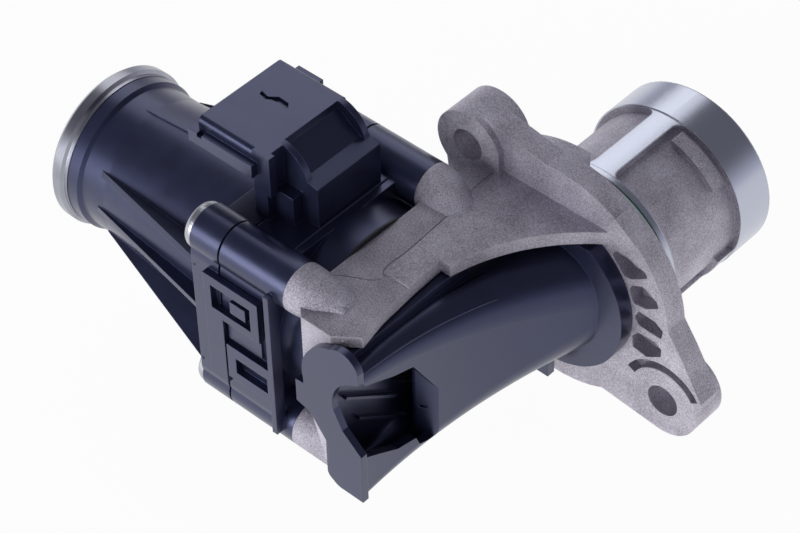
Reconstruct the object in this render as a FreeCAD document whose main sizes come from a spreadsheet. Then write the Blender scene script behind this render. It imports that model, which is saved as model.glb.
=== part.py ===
import FreeCAD, Part
import math
import os
import re
from types import SimpleNamespace

import Sketcher
from FreeCAD import Rotation, Vector

# Frame of the part: the origin is where the spigot axis meets the mating face of the flange,
# +Y points out along the spigot, +Z up, and the actuator lies on the -X side with its axis along X.

# Driving dimensions in millimetres, written once here and read from the spreadsheet everywhere else.
DIMS = {
    # Actuator axis (parallel to X) and the four screw columns round it
    "axis_y": -47.0, "column_dy": 22.6, "column_dz": 23.1, "column_rad": 6.45,
    "joint_x": -27.5, "split_x": -48.8, "gasket_thick": 0.6, "back_x": -58.0,
    "screw_rad": 2.5, "screw_end_x": -22.0, "head_rad": 6.2, "head_thick": 2.8, "sleeve_rad": 3.9,
    # Valve body: wall, roof, flange, spigot
    "wall_left": -25.3, "wall_right": -13.0, "wall_bottom": -29.5, "body_front": -77.5,
    "roof_top": 24.0, "roof_thick": 3.3, "boss_end_x": -13.5,
    "flange_front": -10.0, "flange_rear": -3.5, "flange_rad": 34.2, "flange_low": -24.2,
    "upper_lug_x": -27.0, "upper_lug_z": 28.2, "upper_lug_rad": 9.7, "upper_lug_front": -12.0,
    "lower_lug_x": 33.8, "lower_lug_z": -20.6, "lower_lug_rad": 10.3, "bolt_hole_rad": 4.5,
    "register_step": 2.6, "spigot_rad": 23.8, "spigot_end": 43.75, "spigot_wall": 4.3,
    "window_start": 6.4, "window_end": 32.2, "window_depth": 2.0, "window_corner": 2.5, "bar_relief": 0.3,
    "ring_groove_start": 1.8, "ring_depth": 2.3, "ring_stand": 0.5,
    "cast_pad_low": 26.5, "cast_pad_high": 30.8, "cast_pad_drop": 0.7, "foot_start": 26.0,
    "pocket_depth": 4.2, "pocket_corner": 0.6, "lug_groove_rad": 9.7, "lug_groove_wide": 2.4, "lug_groove_deep": 3.0,
    "ridge_first": -38.0, "ridge_last": 2.0, "block_first": 30.0, "block_last": 43.0, "block_rise": 1.1,
    "pad_rise": 0.45, "pad_front": -54.4, "pad_left": -15.4, "wall_chamfer": 5.0, "boss_straight": 1.2, "boss_tip_rad": 1.2,
    # Exhaust gas passage: port in the mating face, slot in the wall, chamber at the valve seat
    "port_x": -19.8, "port_z": -29.0, "port_rad": 7.0, "port_depth": 8.0, "port_boss_rad": 11.5,
    "slot_left": -22.8, "slot_right": -16.8, "chamber_rad": 11.5, "slot_end_y": -14.0, "slot_end_rad": 9.0,
    # Valve seat, guide and poppet
    "seat_rad": 12.5, "seat_bore_rad": 9.5, "seat_chamfer": 1.5, "seat_gap": 0.1, "head_face_thick": 1.6,
    "guide_boss_end": -36.0, "guide_boss_rad": 8.5, "bush_rad": 5.5, "seal_rad": 7.0, "seal_end": -33.5,
    "stem_rad": 3.0, "running_gap": 0.05, "stem_end": -49.2, "neck_end": -15.6,
    "lift": 6.0, "pin_x": -46.4, "pin_rad": 1.2, "pin_reach": 9.9, "roller_rad": 1.9, "roller_start": 8.15,
    "slot_gap": 0.12, "opening_angle": 80.0,
    # Cam hub, guide sleeve, return spring
    "hub_rad": 8.0, "hub_bore_rad": 5.4, "hub_end": -38.6, "guide_sleeve_rad": 10.0, "partition_left": -38.4,
    "partition_right": -36.4, "spring_rad": 10.85, "spring_wire": 1.3, "spring_turns": 4.0,
    # Spur gears
    "gear_module": 0.55, "motor_teeth": 12.0, "wheel_teeth": 40.0, "small_teeth": 13.0, "output_teeth": 39.0,
    "tooth_play": 0.1, "wheel_start": -57.0, "wheel_end": -53.6, "output_start": -52.6, "output_end": -49.0,
    "wheel_pin_rad": 1.5, "sensor_magnet_rad": 1.4, "sensor_magnet_thick": 2.0, "sensor_magnet_orbit": 8.6,
    "sensor_magnet_angle": 40.0,
    # Gear housing and motor housing
    "housing_dy": 29.0, "housing_dz": 25.0, "housing_right": -33.8, "housing_corner": 6.0,
    "latch_rise": 2.0, "latch_gap": 0.3,
    "cavity_rad": 23.0, "pilot_gap": 0.467, "pilot_wall": 2.6, "pilot_end": -25.8,
    "bell_end_x": -112.1, "bell_wall": 1.8, "bell_lip_rise": 1.0, "bell_neck_x": -100.0,
    "bell_flare": 3.9, "bell_lip_x": -108.6, "rib_start_x": -102.0, "rib_thick": 1.6, "gusset_reach": 33.4,
    "side_rib_reach": 28.2, "crease_rise": 0.5,
    # Motor inside the bell
    "can_rad": 18.1, "can_wall": 1.7, "can_start": -106.0, "can_end": -66.4, "can_floor": 1.5, "can_ledge": 1.0,
    "magnet_thick": 2.7, "air_gap": 0.6, "core_start": -99.0, "core_end": -74.0, "shaft_rad": 1.5,
    "card_end": -60.4, "commutator_rad": 5.0, "cap_rim_x": -117.3, "cap_lap": 0.9,
    "cap_sheet": 1.1, "cap_gap": 0.2,
    # Mixing duct
    "duct_left": -12.7, "duct_right": -0.9, "duct_low": -24.0, "duct_high": 18.3, "duct_front": -79.6,
    "duct_wall": 2.2, "duct_end_y": -14.3, "duct_end_rad": 16.2, "duct_corner": 2.6, "duct_end_corner": 13.0,
    "collar_rad": 23.5, "collar_top": 19.6, "plate_lap": 0.1, "nozzle_gap": 0.3, "nozzle_wall": 3.2, "nozzle_end": 10.0,
    "duct_ring_start": 2.0, "duct_ring_depth": 1.6, "head_hole_rad": 12.0,
    "baffle_left": -4.8, "baffle_front": -57.3, "baffle_rear": -53.0, "baffle_top": 8.0, "fin_thick": 0.8, "fin_deep": 1.6,
    # Plug connector and sensor board
    "plug_left": -69.0, "plug_right": -46.5, "plug_front": -60.0, "plug_rear": -31.5,
    "plug_low": 36.5, "plug_top": 45.0, "plug_wall": 1.7, "plug_depth": 14.0, "plug_inner_corner": 0.8,
    "tower_right": -36.5, "tower_rear": -32.6, "tower_top": 38.0,
    "blade_pitch": 3.6, "blade_wide": 1.4, "blade_thick": 0.6, "blade_level": 40.5, "blade_middle_y": -46.0,
    "board_right": -45.6, "board_left": -46.8, "board_low": 13.5, "board_high": 20.5,
}
# Sizes that follow from the driving ones: walls, gaps and steps added to a neighbour's size
FOLLOWING = {
    "spigot_bore_rad": "spigot_rad - spigot_wall",
    "window_rad": "spigot_rad - window_depth",
    "ring_groove_rad": "spigot_rad - ring_depth",
    "ring_groove_end": "ring_groove_start + ring_depth + ring_stand",
    "register_rad": "spigot_rad + register_step",
    "nozzle_rad": "spigot_bore_rad - nozzle_gap",
    "nozzle_bore_rad": "nozzle_rad - nozzle_wall",
    "duct_ring_rad": "nozzle_rad - duct_ring_depth",
    "duct_ring_end": "duct_ring_start + duct_ring_depth + nozzle_gap + 0.1",
    "pilot_rad": "(column_dy ^ 2 + column_dz ^ 2) ^ 0.5 - column_rad - pilot_gap",
    "pilot_bore_rad": "pilot_rad - pilot_wall",
    "can_bore_rad": "can_rad - can_wall",
    "magnet_rad": "can_bore_rad - magnet_thick",
    "core_rad": "magnet_rad - air_gap",
    "bell_neck_rad": "can_rad + bell_wall",
    "bell_lip_rad": "bell_neck_rad + bell_lip_rise",
    "bell_root_rad": "bell_neck_rad + bell_flare",
    "crease_reach": "bell_root_rad + crease_rise",
    "cap_inner_rad": "bell_lip_rad + cap_gap",
    "cap_rim_rad": "cap_inner_rad + cap_lap",
}
BLADES = 5
DUCT_STEPS = 4
BRUSH_SIDES = (-1, 1)
# Corners (x, z) of the pockets in the flange, from the top one down
POCKETS = (
    ((16.4, 17.8), (17.6, 19.7), (21.2, 19.6), (26.3, 18.3), (27.3, 16.8), (22.4, 13.4), (20.3, 13.2)),
    ((22.0, 9.8), (22.8, 11.7), (26.0, 13.3), (30.3, 11.0), (31.0, 9.2), (27.0, 6.6), (23.4, 6.1)),
    ((24.0, 2.0), (25.1, 4.6), (30.1, 4.3), (32.6, 2.6), (32.2, -0.3), (25.3, 0.0)),
    ((23.6, -4.7), (25.4, -2.6), (30.5, -2.2), (32.5, -3.8), (32.4, -6.3), (28.3, -9.0), (23.9, -8.3)),
)
# Outer edge of the flange beside the lower lug (x, z)
LUG_SHOULDER = ((29.0, 9.0), (34.0, 3.5), (38.2, -2.6), (41.1, -7.4), (42.5, -9.9), (45.2, -14.2), (44.0, -18.3),
                (33.0, -20.0), (22.0, -10.0))
# First and last angle of the as-cast windows of the spigot, from +Z towards +X
WINDOWS = ((6.8, 131.5), (148.5, 208.5), (225.5, 349.8))
# Angle of each motor rib from +Z towards -Y, with the name of its radius at the housing
RIBS = ((60, "gusset_reach"), (90, "side_rib_reach"), (120, "gusset_reach"), (-60, "gusset_reach"),
        (-90, "side_rib_reach"), (-120, "gusset_reach"), (0, "crease_reach"), (180, "crease_reach"))
CORNERS = [(side, level) for side in (-1, 1) for level in (-1, 1)]

doc = FreeCAD.newDocument("egr_valve")
sheet = doc.addObject("Spreadsheet::Sheet", "dims")
for row, (name, value) in enumerate(DIMS.items(), 1):
    sheet.set(f"A{row}", name)
    sheet.set(f"B{row}", str(value))
    sheet.setAlias(f"B{row}", name)
follow = doc.addObject("Spreadsheet::Sheet", "following")
for row, (name, text) in enumerate(FOLLOWING.items(), 1):
    formula = re.sub(r"[A-Za-z_]\w*", lambda found: ("dims." if found.group(0) in DIMS else "") + found.group(0), text)
    follow.set(f"A{row}", name)
    follow.set(f"B{row}", "=" + formula)
    follow.setAlias(f"B{row}", name)
doc.recompute()
d = SimpleNamespace(**{name: float(sheet.get(name)) for name in DIMS},
                    **{name: float(follow.get(name)) for name in FOLLOWING})
nodes = []


def bind(thing, prop, text):
    """Bind a property to an expression over the names of the two sheets."""
    holder = {name: "following." for name in FOLLOWING}
    thing.setExpression(prop, re.sub(r"[A-Za-z_]\w*", lambda found: holder.get(found.group(0), "dims.") + found.group(0),
                                     text))


def keep(thing):
    nodes.append(thing)
    return thing


def shaped(label, shape):
    """A sub-part whose shape is made by the functions below."""
    feature = doc.addObject("Part::Feature", label)
    feature.Shape = shape.removeSplitter()
    return keep(feature)


def turned(label, outline, along="x", at=("0", "axis_y", "0")):
    """A turned piece: outline is a list of (place along the axis, radius), as expressions."""
    body = doc.addObject("PartDesign::Body", label)
    sketch = body.newObject("Sketcher::SketchObject", label + "_outline")
    plane = next(item for item in body.Origin.OriginFeatures if item.Role == "XY_Plane")
    sketch.AttachmentSupport = [(plane, "")]
    sketch.MapMode = "FlatFace"
    count = len(outline)
    spots = [Vector(math.cos(math.tau * k / count), 2 + math.sin(math.tau * k / count), 0) for k in range(count)]
    for k in range(count):
        sketch.addGeometry(Part.LineSegment(spots[k], spots[(k + 1) % count]), False)
    for k in range(count):
        sketch.addConstraint(Sketcher.Constraint("Coincident", k, 2, (k + 1) % count, 1))
    for k, (axial, radius) in enumerate(outline):
        pair = (axial, radius) if along == "x" else (radius, axial)
        for kind, text in zip(("DistanceX", "DistanceY"), pair):
            index = sketch.addConstraint(Sketcher.Constraint(kind, -1, 1, k, 1, 1.0))
            bind(sketch, f"Constraints[{index}]", text)
    turn = body.newObject("PartDesign::Revolution", label + "_turn")
    turn.Profile = sketch
    turn.ReferenceAxis = (sketch, ["H_Axis" if along == "x" else "V_Axis"])
    turn.Angle = 360
    for letter, text in zip("xyz", at):
        bind(body, ".Placement.Base." + letter, text)
    return keep(body)


def tube(label, inner, outer, start, end, along="x", at=("0", "axis_y", "0")):
    """A plain turned ring or bush."""
    return turned(label, [(start, inner), (end, inner), (end, outer), (start, outer)], along, at)


def block(name, xs, ys, zs):
    """A bound Part::Box between pairs of expressions."""
    box = doc.addObject("Part::Box", name)
    for prop, letter, (low, high) in zip(("Length", "Width", "Height"), "xyz", (xs, ys, zs)):
        bind(box, prop, f"({high}) - ({low})")
        bind(box, ".Placement.Base." + letter, low)
    return box


def rod(name, radius, axis, start, end, across):
    """A bound Part::Cylinder along one axis; across holds its two other coordinates."""
    bar = doc.addObject("Part::Cylinder", name)
    bind(bar, "Radius", radius)
    bind(bar, "Height", f"({end}) - ({start})")
    turns = {"x": Rotation(Vector(0, 1, 0), 90), "y": Rotation(Vector(1, 0, 0), -90), "z": Rotation()}
    bar.Placement.Rotation = turns[axis]
    places = dict(zip([letter for letter in "xyz" if letter != axis], across))
    places[axis] = start
    for letter in "xyz":
        bind(bar, ".Placement.Base." + letter, places[letter])
    return bar


def group(label, pieces):
    """Several separate solids of one kind in one node."""
    bundle = doc.addObject("Part::Compound", label)
    bundle.Links = pieces
    return keep(bundle)


def spot(axis, along, pair):
    """A point from its place along an axis and its two other coordinates."""
    a, b = pair
    return {"x": Vector(along, a, b), "y": Vector(a, along, b), "z": Vector(a, b, along)}[axis]


def disc(radius, axis, start, end, centre=(0.0, 0.0)):
    low, high = min(start, end), max(start, end)
    return Part.makeCylinder(radius, high - low, spot(axis, low, centre), spot(axis, 1, (0, 0)))


def brick(xs, ys, zs):
    low = Vector(min(xs), min(ys), min(zs))
    high = Vector(max(xs), max(ys), max(zs))
    return Part.makeBox(high.x - low.x, high.y - low.y, high.z - low.z, low)


def sheet_of(axis, level, path):
    """A plane face: path holds points, and (via, end) pairs for arcs through a middle point."""
    edges = []
    here = spot(axis, level, path[0])
    for step in list(path[1:]) + [path[0]]:
        if isinstance(step[0], tuple):
            via, there = (spot(axis, level, pair) for pair in step)
            edges.append(Part.Arc(here, via, there).toShape())
        else:
            there = spot(axis, level, step)
            if there.isEqual(here, 1e-7):
                continue
            edges.append(Part.makeLine(here, there))
        here = there
    return Part.Face(Part.Wire(edges))


def prism(axis, start, end, path):
    """A straight extrusion of a plane outline along an axis."""
    return sheet_of(axis, start, path).extrude(spot(axis, end - start, (0, 0)))


def hull(first, first_rad, second, second_rad, axis, start, end):
    """Two discs and the web between their outer tangents."""
    a, b = Vector(*first, 0), Vector(*second, 0)
    line = b - a
    lean = math.acos((first_rad - second_rad) / line.Length)
    heading = math.atan2(line.y, line.x)
    ring = []
    for centre, radius, sides in ((a, first_rad, (1, -1)), (b, second_rad, (-1, 1))):
        for side in sides:
            angle = heading + side * lean
            ring.append((centre.x + radius * math.cos(angle), centre.y + radius * math.sin(angle)))
    web = prism(axis, start, end, ring)
    return web.fuse([disc(first_rad, axis, start, end, first), disc(second_rad, axis, start, end, second)])


def soft_box(axis, start, end, low, high, corner):
    """A box whose four edges along the axis are rounded."""
    (a0, b0), (a1, b1) = low, high
    k = corner * (1 - math.sqrt(0.5))
    path = [(a0 + corner, b0), (a1 - corner, b0), ((a1 - k, b0 + k), (a1, b0 + corner)),
            (a1, b1 - corner), ((a1 - k, b1 - k), (a1 - corner, b1)), (a0 + corner, b1),
            ((a0 + k, b1 - k), (a0, b1 - corner)), (a0, b0 + corner), ((a0 + k, b0 + k), (a0 + corner, b0))]
    return prism(axis, start, end, path)


def sector(radius, start, end, first, last):
    """A slice of a disc about the spigot axis, between two angles from +Z towards +X."""
    slice_ = Part.makeCylinder(radius, end - start, Vector(0, start, 0), Vector(0, 1, 0), last - first)
    slice_.rotate(Vector(0, 0, 0), Vector(0, 1, 0), first)
    return slice_


def columns():
    """Centres (y, z) of the four screw columns."""
    return [(d.axis_y + side * d.column_dy, level * d.column_dz) for side, level in CORNERS]


def fan_pockets():
    """Four tapered lightening pockets between the ribs of the flange, beside the lower lug."""
    cuts = []
    for corners in POCKETS:
        pocket = prism("y", d.flange_front - 3, d.flange_front + d.pocket_depth, corners)
        uprights = [edge for edge in pocket.Edges if abs(edge.tangentAt(edge.FirstParameter).y) > 0.99]
        cuts.append(pocket.makeFillet(d.pocket_corner, uprights))
    return cuts


def flange():
    upper, lower = (d.upper_lug_x, d.upper_lug_z), (d.lower_lug_x, d.lower_lug_z)
    front, rear = d.flange_front, d.flange_rear
    far = 2 * d.flange_rad
    plate = disc(d.flange_rad, "y", front, rear).common(brick((-far, far), (front, rear), (d.flange_low, far)))
    webs = [hull(upper, d.upper_lug_rad, (0, 0), d.flange_rad - 1.5, "y", front, rear),
            hull(lower, d.lower_lug_rad, (0, 0), -d.flange_low + 3.0, "y", front, rear),
            hull((d.port_x, d.port_z), d.port_boss_rad, (0, 0), d.spigot_rad, "y", front, rear)]
    lugs = [disc(d.upper_lug_rad, "y", d.upper_lug_front, 0, upper),
            disc(d.lower_lug_rad, "y", front, 0, lower),
            disc(d.port_boss_rad, "y", front, 0, (d.port_x, d.port_z)),
            disc(d.register_rad, "y", front, 0)]
    ridge = sector(d.flange_rad, rear - 1, 0, d.ridge_first, d.ridge_last)
    block = sector(d.flange_rad + d.block_rise, front - d.block_rise, rear - 2, d.block_first, d.block_last)
    block = block.cut(disc(d.flange_rad - 4.5, "y", front - 2, rear))
    side = brick((upper[0], upper[0] + d.upper_lug_rad), (d.upper_lug_front, front), (d.roof_top, upper[1] + 3))
    shoulder = prism("y", front, rear, LUG_SHOULDER)
    return plate.fuse(webs + lugs + [ridge, block, side, shoulder])


def lug_groove():
    """Curved groove cast round the upper side of the lower lug."""
    centre = (d.lower_lug_x, d.lower_lug_z)
    front, floor = d.flange_front - 1, d.flange_front + d.lug_groove_deep
    outer = d.lug_groove_rad + d.lug_groove_wide
    ring = disc(outer, "y", front, floor, centre).cut(disc(d.lug_groove_rad, "y", front, floor, centre))
    upper = prism("y", front, floor, [centre, (centre[0] + 2 * outer, centre[1] + 1.2 * outer),
                                      (centre[0], centre[1] + 3 * outer), (centre[0] - 2 * outer, centre[1] + 0.9 * outer)])
    return ring.common(upper)


def spigot_cuts():
    """As-cast windows between the machined lands, and the groove of the O-ring."""
    cuts = []
    outer = d.spigot_rad + 1
    start, end = d.window_start, d.window_end
    for first, last in WINDOWS:
        cut = sector(outer, start, end, first, last).cut(disc(d.window_rad, "y", start, end))
        corners = [edge for edge in cut.Edges if edge.Length < 2 * d.window_depth + 1.5
                   and abs(edge.tangentAt(edge.FirstParameter).y) < 0.01]
        cuts.append(cut.makeFillet(d.window_corner, corners))
    bars = disc(outer, "y", start, end).cut(disc(d.spigot_rad - d.bar_relief, "y", start, end))
    groove = disc(outer, "y", d.ring_groove_start, d.ring_groove_end)
    return cuts + [bars, groove.cut(disc(d.ring_groove_rad, "y", d.ring_groove_start, d.ring_groove_end))]


def cast_pads():
    """Raised as-cast pad and foot in the widest window of the spigot."""
    first, last = WINDOWS[0]
    pad = sector(d.spigot_rad - d.cast_pad_drop, d.cast_pad_low, d.cast_pad_high, first + 6, first + 47)
    foot = sector(d.spigot_rad - d.bar_relief, d.foot_start, d.window_end, last - 22, last)
    return [piece.cut(disc(d.window_rad - 1, "y", 0, d.spigot_end)) for piece in (pad, foot)]


def screw_boss(y, z):
    """Boss of a screw column: straight at the joint, then a long cone that runs out in the roof."""
    if z < 0:
        return disc(d.column_rad, "x", d.joint_x, d.wall_right, (y, z))
    outline = [(d.joint_x, 0), (d.joint_x, d.column_rad), (d.joint_x + d.boss_straight, d.column_rad),
               (d.boss_end_x, d.boss_tip_rad), (d.boss_end_x, 0)]
    boss = sheet_of("z", 0, outline).revolve(Vector(0, 0, 0), Vector(1, 0, 0), 360)
    boss.translate(Vector(0, y, z))
    return boss


def body_wall():
    """The thick wall that carries the actuator, with its four screw bosses and the stem guide boss."""
    low, left = d.wall_bottom, d.wall_left
    front, cut = d.body_front, d.wall_chamfer
    port_low = d.port_z - d.port_boss_rad - 0.5
    rear = d.flange_front + 2
    path = [(front, low + 7), (front, d.roof_top), (rear, d.roof_top), (rear, port_low),
            (d.flange_front - 5, port_low), (d.axis_y - 8, low), (front + 9, low)]
    wall = prism("x", left, d.wall_right, path)
    corner = prism("z", port_low, d.roof_top + 1, [(left - 1, front - 1), (left - 1, front + cut), (left, front + cut),
                                                   (left + cut, front), (left + cut, front - 1)])
    below = prism("y", front - 1, front + 18, [
        (left - 1, -5.0), (left + 5.4, -5.0), (left + 6.7, -7.0), (left + 11.2, -21.9), (left + 11.2, low - 1), (left - 1, low - 1)])
    below = below.cut(disc(d.pilot_rad + 0.5, "x", left - 2, d.wall_right, (d.axis_y, 0)))
    bosses = [screw_boss(y, z) for y, z in columns()]
    guide = disc(d.guide_boss_rad, "x", d.guide_boss_end, left, (d.axis_y, 0))
    return wall.cut([corner, below]).fuse(bosses + [guide])


def roof():
    """The web over the duct, from the wall to the flange, with its curved free edge and a raised pad."""
    edge = d.wall_left + 17.4
    cut = d.wall_chamfer
    path = [(d.wall_left, d.flange_front + 2), (d.wall_left, d.body_front + cut), (d.wall_left + cut, d.body_front),
            (-11.0, d.body_front), (-5.1, d.body_front + 4.5), (-6.8, -64.6), (edge, -52.0), (-8.3, -42.8),
            (-5.4, -42.8), ((2.5, -23.6), (16.0, d.flange_front)), (16.0, d.flange_front + 2)]
    top = d.roof_top + d.pad_rise
    pad = prism("z", d.roof_top - 1, top, [(d.pad_left, d.pad_front), (20.0, d.pad_front), (20.0, d.flange_front + 1),
                                           (d.pad_left - 2.4, d.flange_front + 1)])
    return prism("z", d.roof_top - d.roof_thick, d.roof_top, path).fuse(prism("z", d.roof_top - 1, top, path).common(pad))


def gas_passage():
    """The slot from the port in the mating face to the chamber behind the valve seat."""
    axis = (d.axis_y, 0)
    slot = hull((d.axis_y, -1.0), d.slot_end_rad + 1, (d.slot_end_y, d.port_z), d.slot_end_rad,
                "x", d.slot_left, d.slot_right)
    port = disc(d.port_rad, "y", -d.port_depth, 1, (d.port_x, d.port_z))
    chamber = disc(d.chamber_rad, "x", d.slot_left, d.slot_right, axis)
    seat = disc(d.seat_rad, "x", d.slot_right, d.wall_right + 1, axis)
    guide = disc(d.bush_rad, "x", d.guide_boss_end - 1, d.slot_left + 1, axis)
    seal = disc(d.seal_rad, "x", d.guide_boss_end - 1, d.seal_end, axis)
    return [slot, port, chamber, seat, guide, seal]


def valve_body():
    spigot = disc(d.spigot_rad, "y", d.flange_rear, d.spigot_end).cut(spigot_cuts()).fuse(cast_pads())
    body = body_wall().fuse([roof(), flange(), spigot])
    bore = disc(d.spigot_bore_rad, "y", d.flange_front - 4, d.spigot_end + 1)
    holes = [disc(d.screw_rad, "x", d.joint_x - 1, d.screw_end_x, centre) for centre in columns()]
    bolts = [disc(d.bolt_hole_rad, "y", d.upper_lug_front - 1, 1, (x, z))
             for x, z in ((d.upper_lug_x, d.upper_lug_z), (d.lower_lug_x, d.lower_lug_z))]
    cuts = [bore, lug_groove()] + holes + bolts + gas_passage() + fan_pockets()
    return shaped("valve_body", body.cut(cuts))


def valve_parts():
    """Seat ring, stem bush, stem seal and the poppet valve, turned about the actuator axis."""
    turned("seat_ring", [
        ("slot_right", "seat_bore_rad"), ("wall_right - seat_chamfer", "seat_bore_rad"),
        ("wall_right", "seat_bore_rad + seat_chamfer"), ("wall_right", "seat_rad"), ("slot_right", "seat_rad")])
    tube("stem_bush", "stem_rad + running_gap", "bush_rad", "seal_end", "slot_left")
    turned("stem_seal", [
        ("guide_boss_end", "stem_rad + running_gap"), ("guide_boss_end + 0.8", "stem_rad + running_gap"),
        ("guide_boss_end + 1.4", "stem_rad + 1.2"), ("seal_end", "stem_rad + 1.2"),
        ("seal_end", "seal_rad"), ("guide_boss_end", "seal_rad")])
    turned("poppet_valve", [
        ("stem_end", "0"), ("wall_right + seat_gap + head_face_thick", "0"),
        ("wall_right + seat_gap + head_face_thick", "seat_bore_rad + seat_chamfer"),
        ("wall_right + seat_gap", "seat_bore_rad + seat_chamfer"),
        ("wall_right - seat_chamfer + seat_gap", "seat_bore_rad"),
        ("neck_end", "stem_rad"), ("stem_end + 0.6", "stem_rad"), ("stem_end", "stem_rad - 0.6")])


def drive_pin():
    """The cross pin through the stem that the helical slots of the cam hub push."""
    keep(rod("drive_pin", "pin_rad", "z", "-pin_reach", "pin_reach", ("pin_x", "axis_y")))
    poppet = next(node for node in nodes if node.Label == "poppet_valve")
    hole = rod("stem_hole", "pin_rad", "z", "-pin_reach", "pin_reach", ("pin_x", "axis_y"))
    drilled = doc.addObject("Part::Cut", "stem_and_head")
    drilled.Base, drilled.Tool = poppet, hole
    nodes[nodes.index(poppet)] = drilled
    poppet.Label, drilled.Label = "poppet_turned", "poppet_valve"


def guide_rollers():
    """Two rollers on the pin that run in the straight slots of the guide sleeve."""
    rollers = []
    for name, start, end in (("roller_low", "-pin_reach", "-roller_start"), ("roller_high", "roller_start", "pin_reach")):
        wheel = rod(name, "roller_rad", "z", start, end, ("pin_x", "axis_y"))
        bore = rod(name + "_bore", "pin_rad", "z", "-pin_reach", "pin_reach", ("pin_x", "axis_y"))
        ring = doc.addObject("Part::Cut", name + "_ring")
        ring.Base, ring.Tool = wheel, bore
        rollers.append(ring)
    group("guide_rollers", rollers)


def involute_outline(teeth, phase):
    """Points (y, z) of a spur gear about its own centre, with one tooth at the angle phase."""
    pitch = d.gear_module * teeth / 2
    base = pitch * math.cos(math.radians(20))
    tip, root = pitch + 0.8 * d.gear_module, pitch - 1.15 * d.gear_module
    half_tooth = math.pi / 2 / teeth - d.tooth_play / 2 / pitch

    def flank(radius):
        roll = math.acos(min(1, base / radius))
        full = math.acos(base / pitch)
        return half_tooth + (math.tan(full) - full) - (math.tan(roll) - roll)

    radii = [root, max(base, root), (max(base, root) + tip) / 2, tip]
    points = []
    for tooth in range(int(teeth)):
        middle = phase + math.tau * tooth / teeth
        for radius in radii:
            points.append((radius, middle - flank(radius)))
        for radius in reversed(radii):
            points.append((radius, middle + flank(radius)))
    return points


def gear(teeth, start, end, centre_y, phase):
    path = [(centre_y + radius * math.cos(angle), radius * math.sin(angle))
            for radius, angle in involute_outline(teeth, phase)]
    return prism("x", start, end, path)


def wheel_axis():
    """The y of the intermediate shaft, from the tooth numbers and the module."""
    return d.axis_y + d.gear_module * (d.motor_teeth + d.wheel_teeth) / 2


def magnet_spot(turn):
    """Place (y, z) of the sensor magnet, or of a hole that lies turn degrees further round the gear."""
    angle = math.radians(d.sensor_magnet_angle + turn)
    return (d.axis_y + d.sensor_magnet_orbit * math.cos(angle), d.sensor_magnet_orbit * math.sin(angle))


def output_gear():
    """The last gear with its hub; two helical slots in the hub drive the pin along the axis."""
    axis = (d.axis_y, 0)
    teeth = gear(d.output_teeth, d.output_start, d.output_end, d.axis_y, math.pi / d.output_teeth)
    blank = teeth.fuse(disc(d.hub_rad, "x", d.output_end, d.hub_end, axis))
    blank = blank.cut(disc(d.hub_bore_rad, "x", d.output_start + 1.6, d.hub_end + 1, axis))
    steps = 24
    wide = d.pin_rad + d.slot_gap
    cuts = []
    for k in range(steps + 1):
        part_turn = k / steps
        x = d.pin_x + d.lift * part_turn
        bar = disc(wide, "z", -d.hub_rad - 1, d.hub_rad + 1, (x, d.axis_y))
        bar.rotate(Vector(x, d.axis_y, 0), Vector(1, 0, 0), -d.opening_angle * part_turn)
        cuts.append(bar)
    lightening = [disc(d.sensor_magnet_rad, "x", d.output_start - 1, d.output_end + 0.1, magnet_spot(60 * k))
                  for k in range(1, 6)]
    pocket = disc(d.sensor_magnet_rad, "x", d.output_start - 1, d.output_start + d.sensor_magnet_thick, magnet_spot(0))
    return shaped("output_gear", blank.cut(cuts[0].multiFuse(cuts[1:])).cut(lightening + [pocket]))


def sensor_magnet():
    """Round magnet in the face of the output gear, read by the sensor."""
    start = d.output_start
    return shaped("sensor_magnet", disc(d.sensor_magnet_rad, "x", start, start + d.sensor_magnet_thick, magnet_spot(0)))


def guide_sleeve():
    """Steel sleeve pressed in the partition: bearing of the hub, with two straight slots for the rollers."""
    axis = (d.axis_y, 0)
    start = d.output_end + 0.4
    ring = disc(d.guide_sleeve_rad, "x", start, d.partition_right, axis)
    ring = ring.cut(disc(d.hub_rad + d.running_gap, "x", start - 1, d.partition_left + 0.1, axis))
    ring = ring.cut(disc(d.guide_boss_rad, "x", d.partition_left, d.partition_right + 1, axis))
    half = d.roller_rad + d.slot_gap
    slots = [brick((d.pin_x - d.roller_rad - 1, d.pin_x + d.lift), (d.axis_y - half, d.axis_y + half),
                   (level * 7.5, level * 11)) for level in (-1, 1)]
    ends = [disc(half, "z", level * 7.5, level * 11, (d.pin_x + d.lift, d.axis_y)) for level in (-1, 1)]
    return shaped("guide_sleeve", ring.cut(slots + ends))


def return_spring():
    """Torsion spring round the guide sleeve, between the output gear and the partition."""
    start, end = d.output_end + 0.1, d.partition_left
    length = end - start - d.spring_wire
    coil = Part.makeHelix(length / d.spring_turns, length, d.spring_rad)
    half = d.spring_wire / 2
    square = Part.makePolygon([Vector(d.spring_rad + a * half, 0, b * half)
                               for a, b in ((-1, -1), (1, -1), (1, 1), (-1, 1), (-1, -1))])
    wire = Part.Wire(coil.Edges).makePipeShell([square], True, True)
    wire.rotate(Vector(0, 0, 0), Vector(0, 1, 0), 90)
    wire.translate(Vector(start + half, d.axis_y, 0))
    return shaped("return_spring", wire)


def intermediate_gear():
    y = wheel_axis()
    wheel = gear(d.wheel_teeth, d.wheel_start, d.wheel_end, y, math.pi + math.pi / d.wheel_teeth)
    small = gear(d.small_teeth, d.wheel_end, d.output_end + 0.2, y, math.pi)
    bore = disc(d.wheel_pin_rad + d.running_gap, "x", d.wheel_start - 1, d.output_end + 1, (y, 0))
    holes = [disc(2.0, "x", d.wheel_start - 1, d.wheel_end + 1, (y + 7.0 * math.cos(a), 7.0 * math.sin(a)))
             for a in (math.radians(60 * k + 30) for k in range(6))]
    return shaped("intermediate_gear", wheel.fuse(small).cut(holes + [bore]))


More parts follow.
